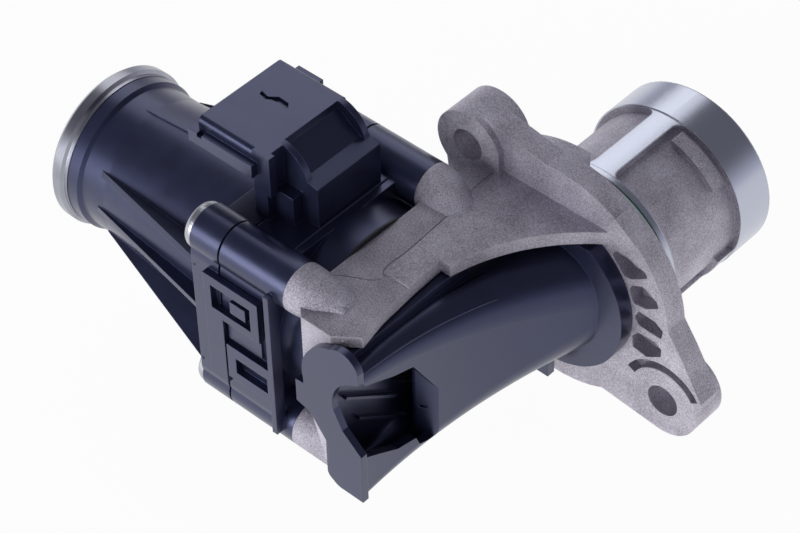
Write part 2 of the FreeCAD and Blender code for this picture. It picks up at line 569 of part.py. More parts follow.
def motor_pinion():
    teeth = gear(d.motor_teeth, d.wheel_start - 0.6, d.wheel_end + 0.3, d.axis_y, 0)
    return shaped("motor_pinion", teeth.cut(disc(d.shaft_rad, "x", -70, -50, (d.axis_y, 0))))


def cavity(start, end):
    """The round gear space, widened round the intermediate gear."""
    room = disc(d.cavity_rad, "x", start, end, (d.axis_y, 0))
    return room.fuse(disc(d.gear_module * (d.wheel_teeth + 2) / 2 + 0.5, "x", start, end, (wheel_axis(), 0)))


def housing_block(start, end):
    low = (d.axis_y - d.housing_dy, -d.housing_dz)
    high = (d.axis_y + d.housing_dy, d.housing_dz)
    return soft_box("x", start, end, low, high, d.housing_corner)


def sleeve_holes(start, end):
    return [disc(d.sleeve_rad, "x", start, end, centre) for centre in columns()]


def snap_loop(xs, zs, window_xs, window_zs):
    """A latch loop on the front side of the housings: a flat frame with a window."""
    front = d.axis_y - d.housing_dy
    frame = brick(xs, (front - d.latch_rise, front + 1.0), zs)
    return frame.cut(brick(window_xs, (front - d.latch_rise - 1, front + 2), window_zs))


def plug_shell():
    """The overhanging plug socket on its tower, open towards -X."""
    rear, front, top = d.plug_rear, d.plug_front, d.plug_top
    box = soft_box("x", d.plug_left, d.plug_right - 1.7, (front, d.plug_low), (rear, top), 1.5)
    step = brick((d.plug_left + 4, d.plug_left + 12), (rear - 1, rear + 1.5), (d.plug_low + 2, top - 1.2))
    rail = brick((d.plug_left - 1.8, d.plug_left + 19.1), (front - 2.0, front + 0.5), (top - 6.8, top - 3.1))
    rail = rail.cut(brick((d.plug_left + 1.2, d.plug_left + 2.8), (front - 3, front), (top - 4.1, top)))
    tower = prism("y", front + 6, d.tower_rear, [
        (-51.0, d.housing_dz - 1), (d.tower_right, d.housing_dz - 1), (d.tower_right, d.tower_top - 1),
        (-41.0, d.tower_top), (-48.2, top - 2.2), (-51.0, top - 2.2)])
    cheeks = []
    for low_y in (front + 6, d.tower_rear - 1.7):
        cheeks.append(prism("y", low_y, low_y + 1.7, [
            (-49.0, d.tower_top - 4), (-49.0, top), (-48.0, top),
            ((-42.5, top - 2.4), (-39.6, d.tower_top - 1.0)), (-39.6, d.tower_top - 4)]))
    corner = brick((-51.5, -47.2), (front, front + 6.1), (d.housing_dz - 1, top))
    shelf = brick((-47.3, -41.4), (front + 2.6, front + 6.1), (d.housing_dz - 1, 33.5))
    lip = brick((-47.3, -46.0), (front + 0.0, front + 2.0), (33.0, top))
    shell = box.fuse([step, rail, tower, corner, shelf, lip] + cheeks)
    over_split = brick((d.plug_left, d.split_x + d.gasket_thick), (front - 1, rear + 2), (0, d.housing_dz + 0.3))
    return shell.cut(over_split)


def plug_cuts():
    inside = soft_box("x", d.plug_left - 1, d.plug_left + d.plug_depth,
                      (d.plug_front + d.plug_wall, d.plug_low + d.plug_wall),
                      (d.plug_rear - d.plug_wall, d.plug_top - d.plug_wall), d.plug_inner_corner)
    middle = (d.plug_front + d.plug_rear) / 2 + 1.8
    latch = prism("z", d.plug_top - 0.8, d.plug_top + 1, [(d.plug_left + a, middle + b) for a, b in (
        (4.8, 0.5), (5.1, -0.6), (7.4, -1.2), (8.8, -0.3), (11.6, 0.0), (14.2, -0.5), (12.7, 1.4), (9.4, 1.6), (7.6, 0.2),
        (6.9, 0.0))])
    legs = [blade_shape(k) for k in range(BLADES)]
    return [inside, latch] + legs


def blade_y(k):
    return d.blade_middle_y + (k - (BLADES - 1) / 2) * d.blade_pitch


def blade_shape(k):
    """One terminal: a flat blade in the socket and a leg down to the sensor board."""
    y, half, thick = blade_y(k), d.blade_wide / 2, d.blade_thick
    right = d.board_left
    flat = brick((d.plug_left + 3, right), (y - half, y + half), (d.blade_level, d.blade_level + thick))
    leg = brick((right - thick, right), (y - half, y + half), (d.board_high - 1.6, d.blade_level + thick))
    return flat.fuse(leg)


def gear_housing():
    """The flat middle housing with its pilot, partition, columns and the plug socket."""
    start = d.split_x + d.gasket_thick
    axis = (d.axis_y, 0)
    body = housing_block(start, d.housing_right)
    body = body.fuse([disc(d.column_rad, "x", start, d.joint_x, centre) for centre in columns()])
    body = body.fuse([disc(d.pilot_rad, "x", d.housing_right, d.pilot_end, axis), plug_shell()])
    room = cavity(start - 1, d.partition_left)
    room = room.cut(disc(2.4, "x", start - 1, d.partition_left, (wheel_axis(), 0)))
    cuts = [room, disc(d.pilot_bore_rad, "x", d.partition_right, d.pilot_end + 1, axis),
            disc(d.guide_sleeve_rad, "x", d.partition_left - 1, d.partition_right + 1, axis),
            disc(d.wheel_pin_rad, "x", start - 1, d.partition_left, (wheel_axis(), 0))]
    body = body.cut(cuts + sleeve_holes(start - 1, d.joint_x + 1) + plug_cuts())
    face = d.axis_y - d.housing_dy
    rail_right = d.housing_right + 3.3
    catch = snap_loop((-46.0, rail_right), (-13.0, -1.9), (-43.2, d.housing_right + 1.1), (-10.2, -5.2))
    rail = brick((rail_right - 1.6, rail_right), (face - d.latch_rise, face + 1.2), (-d.column_dz, d.column_dz))
    nose = brick((-44.0, -39.0), (face - 1.7, face + 1), (9.6, 13.4))
    shelf = brick((-46.0, -35.0), (face - 0.9, face + 1), (-0.6, 4.6))
    pegs = [disc(1.1, "x", d.board_right, d.partition_left + 0.5, (y, 17.5)) for y in (-53.0, -39.5)]
    return shaped("gear_housing", body.fuse([catch, rail, nose, shelf] + pegs))


def bell():
    """The barrel over the motor: lip, neck, slim cone and the ribs that grow towards the housing."""
    axis = (d.axis_y, 0)
    outline = [(d.bell_end_x, 0), (d.bell_end_x, d.bell_lip_rad), (d.bell_lip_x, d.bell_lip_rad),
               (d.bell_lip_x + 1, d.bell_neck_rad), (d.bell_neck_x, d.bell_neck_rad),
               (d.back_x + 0.5, d.bell_root_rad), (d.back_x + 0.5, 0)]
    shell = sheet_of("z", 0, outline).revolve(Vector(0, 0, 0), Vector(1, 0, 0), 360)
    ribs = []
    for angle, reach in RIBS:
        path = [(d.rib_start_x, d.bell_neck_rad - 1), (d.rib_start_x, d.bell_neck_rad + 0.2),
                (d.back_x + 1, vars(d)[reach]), (d.back_x + 1, d.bell_neck_rad - 1)]
        rib = prism("y", -d.rib_thick / 2, d.rib_thick / 2, path)
        rib.rotate(Vector(0, 0, 0), Vector(1, 0, 0), angle)
        ribs.append(rib)
    shell = shell.fuse(ribs)
    shell.translate(Vector(0, *axis))
    return shell


def motor_housing():
    axis = (d.axis_y, 0)
    body = housing_block(d.back_x, d.split_x)
    body = body.fuse([disc(d.column_rad, "x", d.back_x, d.split_x, centre) for centre in columns()] + [bell()])
    inside = [disc(d.can_rad, "x", d.bell_end_x - 1, d.card_end, axis),
              disc(d.can_rad - d.can_ledge, "x", d.card_end - 1, d.wheel_start, axis),
              cavity(d.wheel_start - 1.2, d.split_x + 1)]
    seats = [disc(d.head_rad + 0.3, "x", d.back_x - d.head_thick - 2, d.back_x, centre) for centre in columns()]
    body = body.cut(inside + seats + sleeve_holes(d.back_x - 1, d.split_x + 1))
    face = d.axis_y - d.housing_dy
    loop = snap_loop((-52.3, -34.4), (5.7, 18.3), (-50.0, -37.0), (8.0, 15.4))
    plate = brick((-52.3, -46.6), (face - d.latch_rise, face + 1), (-16.0, 18.3))
    plate = plate.cut(brick((-50.0, -46.0), (face - d.latch_rise - 1, face + 2), (8.0, 15.4)))
    clear = brick((d.split_x, d.housing_right + 5), (face - d.latch_gap, d.axis_y), (-d.housing_dz, d.housing_dz))
    return shaped("motor_housing", body.fuse(plate.fuse(loop).cut(clear)))


def seals():
    """Gasket between the housings, face seal of the pilot, and the two O-rings."""
    start, end = d.split_x, d.split_x + d.gasket_thick
    sheet_face = soft_box("x", start, end, (d.axis_y - d.housing_dy + 1, -d.housing_dz + 1),
                          (d.axis_y + d.housing_dy - 1, d.housing_dz - 1), d.housing_corner)
    gasket = sheet_face.cut([cavity(start - 1, end + 1)] + sleeve_holes(start - 1, end + 1))
    shaped("housing_gasket", gasket)
    tube("body_gasket", "pilot_bore_rad", "pilot_rad", "pilot_end", "wall_left")
    for label, groove_rad, outer_rad, start_y, end_y in (
            ("spigot_o_ring", "ring_groove_rad", "spigot_rad + ring_stand", "ring_groove_start", "ring_groove_end"),
            ("duct_o_ring", "duct_ring_rad", "spigot_bore_rad", "duct_ring_start", "duct_ring_end")):
        ring = doc.addObject("Part::Torus", label)
        bind(ring, "Radius1", f"(({groove_rad}) + ({outer_rad})) / 2")
        bind(ring, "Radius2", f"(({outer_rad}) - ({groove_rad})) / 2")
        bind(ring, ".Placement.Base.y", f"(({start_y}) + ({end_y})) / 2")
        ring.Placement.Rotation = Rotation(Vector(1, 0, 0), 90)
        keep(ring)


def fasteners():
    """Four long screws and the compression sleeves that they pass through."""
    screws, sleeves = [], []
    for k, (y, z) in enumerate((f"axis_y + {side} * column_dy", f"{level} * column_dz") for side, level in CORNERS):
        shank = rod(f"shank_{k}", "screw_rad", "x", "back_x", "screw_end_x", (y, z))
        head = rod(f"pan_head_{k}", "head_rad", "x", "back_x - head_thick", "back_x", (y, z))
        screw = doc.addObject("Part::Fuse", f"screw_{k}")
        screw.Base, screw.Tool = shank, head
        screws.append(screw)
        outer = rod(f"sleeve_outer_{k}", "sleeve_rad", "x", "back_x", "joint_x", (y, z))
        inner = rod(f"sleeve_inner_{k}", "screw_rad", "x", "back_x", "joint_x", (y, z))
        sleeve = doc.addObject("Part::Cut", f"sleeve_{k}")
        sleeve.Base, sleeve.Tool = outer, inner
        sleeves.append(sleeve)
    group("long_screws", screws)
    group("compression_sleeves", sleeves)


def motor_parts():
    """Everything inside the barrel, turned about the actuator axis."""
    turned("end_cap", [
        ("bell_end_x - cap_sheet", "0"), ("bell_end_x", "0"), ("bell_end_x", "cap_inner_rad"),
        ("bell_end_x - 1", "cap_inner_rad"), ("bell_end_x - 1.6", "cap_rim_rad"), ("cap_rim_x + 1", "cap_rim_rad"),
        ("cap_rim_x", "cap_rim_rad - 0.8"), ("cap_rim_x", "cap_rim_rad - 2"), ("cap_rim_x + 0.8", "cap_rim_rad - 2"),
        ("bell_end_x - cap_sheet", "cap_rim_rad - 2.6")])
    tube("damper_ring", "8", "can_rad - 2", "bell_end_x", "can_start")
    turned("motor_can", [
        ("can_start", "4"), ("can_start + can_floor", "4"), ("can_start + can_floor", "can_bore_rad"),
        ("can_end", "can_bore_rad"), ("can_end", "can_rad"), ("can_start", "can_rad")])
    tube("rear_bearing", "shaft_rad + 0.02", "4", "can_start", "can_start + can_floor")
    tube("commutator", "shaft_rad", "commutator_rad", "core_end + 1.5", "can_end - 0.5")
    tube("front_bearing", "shaft_rad + 0.02", "4", "card_end - 2.4", "card_end")
    keep(rod("rotor_shaft", "shaft_rad", "x", "can_start", "wheel_end + 0.3", ("axis_y", "0")))


def magnets():
    """Two ferrite shells inside the can."""
    shells = []
    for start in (25.0, 205.0):
        pair = []
        for radius in (d.can_bore_rad, d.magnet_rad):
            bar = Part.makeCylinder(radius, d.core_end - d.core_start, Vector(d.core_start, d.axis_y, 0),
                                    Vector(1, 0, 0), 130)
            bar.rotate(Vector(0, d.axis_y, 0), Vector(1, 0, 0), start)
            pair.append(bar)
        shells.append(pair[0].cut(pair[1]))
    return shaped("magnets", Part.makeCompound(shells))


def rotor_core():
    """Laminated stack with eight winding slots."""
    core = disc(d.core_rad, "x", d.core_start + 2, d.core_end - 2, (d.axis_y, 0))
    core = core.cut(disc(d.shaft_rad, "x", d.core_start, d.core_end, (d.axis_y, 0)))
    slots = []
    for k in range(8):
        slot = brick((d.core_start, d.core_end), (-1.6, 1.6), (6.5, d.core_rad + 1))
        slot.rotate(Vector(0, 0, 0), Vector(1, 0, 0), 45 * k)
        slot.translate(Vector(0, d.axis_y, 0))
        slots.append(slot)
    shaped("rotor_core", core.cut(slots))
    coils = [slot.common(disc(d.core_rad - 1, "x", d.core_start + 2, d.core_end - 2, (d.axis_y, 0))) for slot in slots]
    for start, end in ((d.core_start, d.core_start + 2), (d.core_end - 2, d.core_end)):
        ring = disc(d.core_rad - 1, "x", start, end, (d.axis_y, 0))
        coils.append(ring.cut(disc(d.shaft_rad + 2, "x", start, end, (d.axis_y, 0))))
    shaped("rotor_windings", coils[0].multiFuse(coils[1:]))


def brush_card():
    """Moulded card that closes the can, carries the front bearing and guides the two brushes."""
    axis = (d.axis_y, 0)
    card = disc(d.can_rad, "x", d.can_end, d.card_end, axis)
    card = card.cut([disc(4, "x", d.card_end - 2.4, d.card_end + 1, axis),
                     disc(d.commutator_rad + 0.5, "x", d.can_end - 1, d.card_end - 3, axis),
                     disc(d.shaft_rad + 0.5, "x", d.can_end - 1, d.card_end, axis)])
    return card


def brushes():
    """Two carbon brushes on the commutator and the springs behind them."""
    carbons, springs, cuts = [], [], []
    y, middle = d.axis_y, (d.core_end + d.can_end) / 2 + 0.8
    for side in BRUSH_SIDES:
        near, far, back = (side * r for r in (d.commutator_rad + 0.02, d.can_bore_rad - 5.4, d.can_bore_rad - 1.4))
        carbons.append(brick((middle - 1.5, middle + 1.5), (y + near, y + far), (-2, 2)))
        springs.append(disc(1.4, "y", y + far, y + back, (middle, 0)))
        cuts.append(brick((middle - 1.6, middle + 1.6), (y + near - side, y + back), (-2.1, 2.1)))
    return carbons, springs, cuts


def brush_gear():
    card = brush_card()
    axis = (d.axis_y, 0)
    carbons, springs, cuts = brushes()
    pads = disc(d.can_bore_rad - 0.3, "x", d.can_end - 5.6, d.can_end, axis)
    pads = pads.cut(disc(d.commutator_rad + 0.5, "x", d.can_end - 6, d.can_end + 1, axis))
    pads = pads.common(brick((d.can_end - 6, d.can_end + 1), (d.axis_y - 20, d.axis_y + 20), (-4.5, 4.5)))
    shaped("brush_holder", card.fuse(pads).cut(cuts))
    shaped("brushes", Part.makeCompound(carbons))
    shaped("brush_springs", Part.makeCompound(springs))


def electrics():
    """Terminals, sensor board, sensor chip and the two leads to the motor."""
    shaped("connector_terminals", Part.makeCompound([blade_shape(k) for k in range(BLADES)]))
    middle = "blade_middle_y"
    keep(block("sensor_board", ("board_left", "board_right"), (middle + " - 8.2", middle + " + 8.2"),
               ("board_low", "board_high")))
    keep(block("hall_sensor", ("board_left - 1.4", "board_left"), (middle + " - 2", middle + " + 2"),
               ("board_low", "board_low + 3")))
    leads = []
    for k, shift in enumerate(("- 6.5", "+ 6.5")):
        leads.append(block(f"lead_{k}", ("card_end", "board_left"), (f"axis_y {shift} - 0.8", f"axis_y {shift} + 0.8"),
                           ("can_rad - can_ledge - 2.6", "can_rad - can_ledge - 1.9")))
    group("motor_leads", leads)


def intermediate_pin():
    y = "axis_y + gear_module * (motor_teeth + wheel_teeth) / 2"
    keep(rod("intermediate_pin", "wheel_pin_rad", "x", "card_end", "partition_left", (y, "0")))


def duct_section(y, grow):
    """The rounded outline of the duct at one y, moved outwards by grow."""
    share = (y - d.duct_front) / (d.duct_end_y - d.duct_front)
    flare = share ** 2.2
    right = d.duct_right + (d.duct_end_rad - d.duct_right) * flare + grow
    low = d.duct_low + (-d.duct_end_rad - d.duct_low) * flare - grow
    high = d.duct_high + (d.duct_end_rad - d.duct_high) * share + grow
    left = d.duct_left - grow
    c = d.duct_corner + (d.duct_end_corner - d.duct_corner) * share + grow
    k = c * (1 - math.sqrt(0.5))
    path = [(left + c, low), (right - c, low), ((right - k, low + k), (right, low + c)), (right, high - c),
            ((right - k, high - k), (right - c, high)), (left + c, high), ((left + k, high - k), (left, high - c)),
            (left, low + c), ((left + k, low + k), (left + c, low))]
    return sheet_of("y", y, path).OuterWire


def duct_loft(grow, front, end):
    """The duct from its tall flat front to its round end; grow is minus the wall for the inside."""
    places = [front + (end - front) * k / DUCT_STEPS for k in range(DUCT_STEPS + 1)]
    return Part.makeLoft([duct_section(y, grow) for y in places], True, False)


def end_plate_path():
    """Outline of the flat end of the duct, which stands a little proud of the walls behind it."""
    right, low = d.duct_right + d.plate_lap, d.duct_low - d.plate_lap
    return [(-18.6, 6.6), ((-16.4, 17.2), (-9.4, 22.4)), ((-3.2, 22.9), (right, 19.4)), (right, low), (-8.0, low),
            ((-10.8, -22.6), (-11.8, -19.6)), (-11.8, -10.8), (-16.9, -3.8), (-21.2, -2.6), (-21.2, 4.6), (-18.6, 4.8)]


def mixing_duct():
    front, wall = d.duct_front, d.duct_wall
    face = front + 1.9
    outer = duct_loft(0, front + 0.5, d.duct_end_y)
    inner = duct_loft(-wall, face, d.duct_end_y + 0.01)
    plate = prism("y", front, face, end_plate_path())
    collar = disc(d.collar_rad, "y", d.duct_end_y, d.flange_front)
    collar = collar.common(brick((d.duct_left, 40), (d.duct_end_y, d.flange_front), (-40, d.collar_top)))
    nozzle = disc(d.nozzle_rad, "y", d.flange_front, d.nozzle_end)
    ring = disc(d.nozzle_rad + 1, "y", d.duct_ring_start, d.duct_ring_end)
    ring = ring.cut(disc(d.duct_ring_rad, "y", d.duct_ring_start, d.duct_ring_end))
    bore = disc(d.nozzle_bore_rad, "y", d.flange_front, d.nozzle_end + 1)
    mouth = disc(d.duct_end_rad - wall + 0.3, "y", d.duct_end_y - 0.5, d.flange_front)
    mouth = mouth.common(brick((d.duct_left + wall, 40), (d.duct_end_y - 1, d.flange_front), (-40, 40)))
    head_hole = disc(d.head_hole_rad, "x", d.duct_left - 2, d.duct_left + wall + 2.5, (d.axis_y, 0))
    right = d.duct_right
    scoop = prism("x", right - wall - 1.6, right + 8, [
        (face, 15.2), (-77.0, 14.2), (-67.8, 10.5), (-62.0, 9.3), (-54.5, -3.5), (-54.5, -20.6), (-60.6, -18.4),
        (-61.7, -15.5), (-67.5, -14.9), (face, -9.6)])
    notch = prism("y", front - 1, face + 0.3, [
        (right + 1, 16.8), (-3.2, 14.8), ((-9.3, 6.5), (-9.2, 2.4)), (-6.6, -3.0), (right + 1, -9.1)])
    shell = outer.fuse([plate, collar, nozzle]).cut([inner, ring, bore, mouth, head_hole, scoop, notch])
    left = d.baffle_left
    baffle = prism("z", d.duct_low + 2, d.baffle_top, [
        (right + 2.3, d.baffle_rear - 1.6), (left + 0.8, d.baffle_front), (left, d.baffle_front),
        (left, d.baffle_front + 1.0), (right + 2.0, d.baffle_rear)])
    vent = disc(0.5, "x", left - 1, right, (d.baffle_front + 0.9, -10.4))
    tab = brick((1.5, 6.0), (-20.0, -17.6), (-23.5, -14.0))
    ledge = brick((d.duct_left, -5.9), (front + 2, -36.0), (d.duct_high - 2, d.duct_high + 1.9))
    fins = []
    for y, z in ((-75.6, 2.6), (-71.6, -7.6)):
        fin = brick((d.duct_left + 1, d.duct_left + wall + d.fin_deep), (0, 21.0), (0, d.fin_thick))
        fin.rotate(Vector(0, 0, 0), Vector(1, 0, 0), -37)
        fin.translate(Vector(0, y, z))
        fins.append(fin)
    ledge = ledge.cut(inner)
    return shaped("mixing_duct", shell.fuse([baffle.cut(vent).common(outer), tab, ledge] + fins))


def build_all():
    valve_body()
    valve_parts()
    drive_pin()
    guide_rollers()
    output_gear()
    sensor_magnet()
    guide_sleeve()
    return_spring()
    intermediate_gear()
    intermediate_pin()
    motor_pinion()
    gear_housing()
    motor_housing()
    seals()
    fasteners()
    motor_parts()
    magnets()
    rotor_core()
    brush_gear()
    electrics()
    mixing_duct()


def write_all():
    """Check every object, then write one file per sub-part."""
    doc.recompute()
    for item in doc.Objects:
        if "Invalid" in item.State or "Error" in item.State:
            raise RuntimeError(f"{item.Label} failed: {item.State}")
    os.makedirs("parts", exist_ok=True)
    for node in nodes:
        shape = node.Shape
        if shape.isNull() or not shape.isValid():
            raise RuntimeError(f"{node.Label} has no valid shape")
    for node in nodes:
        node.Shape.exportStep(f"parts/{node.Label}.step")
        print(f"{node.Label:22s} {len(node.Shape.Solids)} solids {node.Shape.Volume:10.0f} mm3")


build_all()
write_all()
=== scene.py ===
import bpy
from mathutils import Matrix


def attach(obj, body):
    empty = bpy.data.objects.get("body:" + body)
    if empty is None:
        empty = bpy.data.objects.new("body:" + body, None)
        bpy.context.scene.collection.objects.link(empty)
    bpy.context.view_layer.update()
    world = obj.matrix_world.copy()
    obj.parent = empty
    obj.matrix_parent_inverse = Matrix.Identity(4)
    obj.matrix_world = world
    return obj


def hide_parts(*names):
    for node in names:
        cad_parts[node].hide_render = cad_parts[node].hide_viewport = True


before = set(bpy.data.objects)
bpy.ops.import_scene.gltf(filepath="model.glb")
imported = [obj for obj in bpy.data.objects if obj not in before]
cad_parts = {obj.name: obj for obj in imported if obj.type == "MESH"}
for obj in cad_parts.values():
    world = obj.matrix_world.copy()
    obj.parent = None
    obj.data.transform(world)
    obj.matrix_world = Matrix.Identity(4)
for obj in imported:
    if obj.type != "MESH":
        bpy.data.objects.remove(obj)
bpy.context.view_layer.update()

import math

import bmesh
import bpy
from mathutils import Matrix, Vector

MM = 0.001
# The motor, the gears' hub and the poppet share an axis along X at this place
AXIS_Y = -47.0
# Middles of the four screw columns round that axis
SCREW_DY, SCREW_DZ = 22.6, 23.1
# The bosses of those columns on the casting: where they start, and their radius
BOSS_X, BOSS_RAD = -27.5, 6.45
# Where the screws' heads sit on the motor housing, and the top faces of the casting's roof and the gear housing
SCREW_SEAT_X = -58.0
ROOF_Z, GEAR_HOUSING_Z = 24.0, 25.0
# The turned parts of the spigot and flange: outer lands, bore and end face
LAND_RAD, BORE_RAD, SPIGOT_END_Y = 23.4, 19.6, 43.6
# The duct from its open end towards the flange
DUCT_END_Y, DUCT_LENGTH = -79.6, 65.3
# The table just under the part, and half its width
FLOOR_Z, FLOOR_HALF = -43.5, 3000.0


def linear(code):
    """Linear colour of an sRGB hex value."""
    parts = [int(code[k:k + 2], 16) / 255 for k in (1, 3, 5)]
    return [v / 12.92 if v <= 0.04045 else ((v + 0.055) / 1.055) ** 2.4 for v in parts] + [1.0]


def add(tree, kind, settings=None, links=None):
    """Adds a node. Lower-case settings are its properties, the others its sockets' values. A link comes from a socket,
    or from a node's first one."""
    node = tree.nodes.new(kind)
    for name, value in (settings or {}).items():
        if isinstance(name, str) and name[0].islower():
            setattr(node, name, value)
        else:
            node.inputs[name].default_value = value
    for name, source in (links or {}).items():
        tree.links.new(source.outputs[0] if isinstance(source, bpy.types.Node) else source, node.inputs[name])
    return node


def start_material(name, **values):
    """A material with its shader, and the place on the object in millimetres."""
    material = bpy.data.materials.new(name)
    material.use_nodes = True
    tree = material.node_tree
    shader = tree.nodes["Principled BSDF"]
    for socket, value in values.items():
        shader.inputs[socket.replace("_", " ")].default_value = value
    place = add(tree, "ShaderNodeTexCoord").outputs["Object"]
    place = add(tree, "ShaderNodeMapping", {"Scale": (1 / MM, 1 / MM, 1 / MM)}, {"Vector": place})
    return material, tree, shader, place


def soften(tree, shader, relief, depth_mm, edge_mm):
    """Relief of the surface with the small radius of a real edge. Returns how near an edge is, from 0 to 1."""
    edge = add(tree, "ShaderNodeBevel", {"samples": 6, "Radius": edge_mm * MM})
    bump = add(tree, "ShaderNodeBump", {"Strength": 1.0, "Distance": depth_mm * MM}, {"Height": relief, "Normal": edge})
    tree.links.new(bump.outputs["Normal"], shader.inputs["Normal"])
    flat = add(tree, "ShaderNodeNewGeometry").outputs["Normal"]
    turn = add(tree, "ShaderNodeVectorMath", {"operation": "DOT_PRODUCT"}, {0: edge, 1: flat}).outputs["Value"]
    return add(tree, "ShaderNodeMapRange", {"From Min": 0.995, "From Max": 0.88}, {"Value": turn})


def two_tones(tree, pattern, dark, light, low=0.3, high=0.7):
    """A colour that wanders with a pattern between two hex values, which it reaches at low and high."""
    share = add(tree, "ShaderNodeMapRange", {"From Min": low, "From Max": high}, {"Value": pattern})
    colours = {"data_type": "RGBA", 6: linear(dark), 7: linear(light)}
    return add(tree, "ShaderNodeMix", colours, {0: share}).outputs[2]


def painted_edge_highlight(tree, colour, edge_highlight, edge, pattern):
    """The colour, with a hex value in its place where an edge is near and the pattern is strong: a painted highlight
    along the edges.
    """
    share = add(tree, "ShaderNodeMath", {"operation": "MULTIPLY"}, {0: edge, 1: pattern})
    return add(tree, "ShaderNodeMix", {"data_type": "RGBA", 7: linear(edge_highlight)}, {0: share, 6: colour}).outputs[2]


def moulded_plastic(name, dark, light, edge_highlight, rough, grain_mm=0.5, edge_mm=0.3):
    """Injection moulded: satin under a skin of clear resin, cloudy where fibres reach it, paler at the edges with a
    painted highlight.
    """
    material, tree, shader, place = start_material(
        name, IOR=1.56, Specular_IOR_Level=0.8, Specular_Tint=linear("#a8b4ff"),
        Coat_Weight=0.4, Coat_Roughness=0.3, Coat_IOR=1.5)
    # Fibres are 0.2 to 0.4 mm long, and their grain is drawn up to half a millimetre wide so that it shows
    cloud = add(tree, "ShaderNodeTexNoise", {"Scale": 1 / 7.0, "Detail": 3.0}, {"Vector": place})
    skin = add(tree, "ShaderNodeTexNoise", {"Scale": 1 / grain_mm, "Detail": 2.0}, {"Vector": place})
    sheen = add(tree, "ShaderNodeMapRange", {"To Min": rough - 0.06, "To Max": rough + 0.08}, {"Value": cloud})
    tree.links.new(sheen.outputs["Result"], shader.inputs["Roughness"])
    edge = soften(tree, shader, skin, 0.012, edge_mm)
    # The edges get the paler edge_highlight colour: a painted highlight along them
    colour = painted_edge_highlight(tree, two_tones(tree, cloud, dark, light), edge_highlight, edge, cloud)
    tree.links.new(colour, shader.inputs["Base Color"])
    return material


def turned_lands(tree, place):
    """1 where the casting is turned bright: the lands beyond the mating face, the spigot's bore and its end face."""
    apart = add(tree, "ShaderNodeSeparateXYZ", links={"Vector": place})
    across, along, level = (apart.outputs[name] for name in ("X", "Y", "Z"))
    square = add(tree, "ShaderNodeMath", {"operation": "MULTIPLY"}, {0: across, 1: across})
    square = add(tree, "ShaderNodeMath", {"operation": "MULTIPLY_ADD"}, {0: level, 1: level, 2: square})
    radius = add(tree, "ShaderNodeMath", {"operation": "SQRT"}, {0: square})
    outside = add(tree, "ShaderNodeMath", {"operation": "GREATER_THAN", 1: LAND_RAD}, {0: radius})
    beyond_face = add(tree, "ShaderNodeMath", {"operation": "GREATER_THAN", 1: -0.05}, {0: along})
    inside = add(tree, "ShaderNodeMath", {"operation": "LESS_THAN", 1: BORE_RAD}, {0: radius})
    in_spigot = add(tree, "ShaderNodeMath", {"operation": "GREATER_THAN", 1: 1.0}, {0: along})
    end_face = add(tree, "ShaderNodeMath", {"operation": "GREATER_THAN", 1: SPIGOT_END_Y}, {0: along})
    land = add(tree, "ShaderNodeMath", {"operation": "MULTIPLY"}, {0: outside, 1: beyond_face})
    bore = add(tree, "ShaderNodeMath", {"operation": "MULTIPLY"}, {0: inside, 1: in_spigot})
    turned = add(tree, "ShaderNodeMath", {"operation": "MAXIMUM"}, {0: land, 1: bore})
    return add(tree, "ShaderNodeMath", {"operation": "MAXIMUM"}, {0: turned, 1: end_face})


def die_cast_aluminium(name, dark, light):
    """Die-cast and shot-blasted: dull and sandy with pale edges, partly worn bright by the blasting and partly a
    painted highlight, and bright where the spigot and faces are turned.
    """
    material, tree, shader, place = start_material(name, Metallic=1.0)
    # The blasted grain is about 0.2 mm, drawn twice as coarse so that it shows
    grain = add(tree, "ShaderNodeTexNoise", {"Scale": 1 / 0.38, "Detail": 4.0, "Roughness": 0.8}, {"Vector": place})
    cloud = add(tree, "ShaderNodeTexNoise", {"Scale": 1 / 8.0, "Detail": 4.0}, {"Vector": place})
    mixed = add(tree, "ShaderNodeMath", {"operation": "MULTIPLY_ADD", 1: 0.3}, {0: cloud, 2: grain})
    cast = two_tones(tree, mixed, dark, light, 0.48, 0.84)
    turned = turned_lands(tree, place)
    bright = {"data_type": "RGBA", 7: linear("#b9bdcb")}
    colour = add(tree, "ShaderNodeMix", bright, {0: turned, 6: cast}).outputs[2]
    rough = add(tree, "ShaderNodeMapRange", {"To Min": 0.5, "To Max": 0.24}, {"Value": turned})
    tree.links.new(rough.outputs["Result"], shader.inputs["Roughness"])
    # Feed marks of the turning tool, 0.4 mm apart, take the place of the grain on the lands
    marks = {"wave_type": "BANDS", "bands_direction": "Y", "Scale": 0.8, "Distortion": 0.4}
    feed = add(tree, "ShaderNodeTexWave", marks, {"Vector": place}).outputs["Fac"]
    feed = add(tree, "ShaderNodeMath", {"operation": "MULTIPLY", 1: 0.03}, {0: feed})
    relief = add(tree, "ShaderNodeMix", {"data_type": "FLOAT"}, {0: turned, 2: grain, 3: feed})
    edge = soften(tree, shader, relief, 0.3, 0.5)
    # Paler at the edges: a painted highlight, partly also edges worn bright by the blasting
    tree.links.new(painted_edge_highlight(tree, colour, "#dcd9e0", edge, cloud), shader.inputs["Base Color"])
    return material


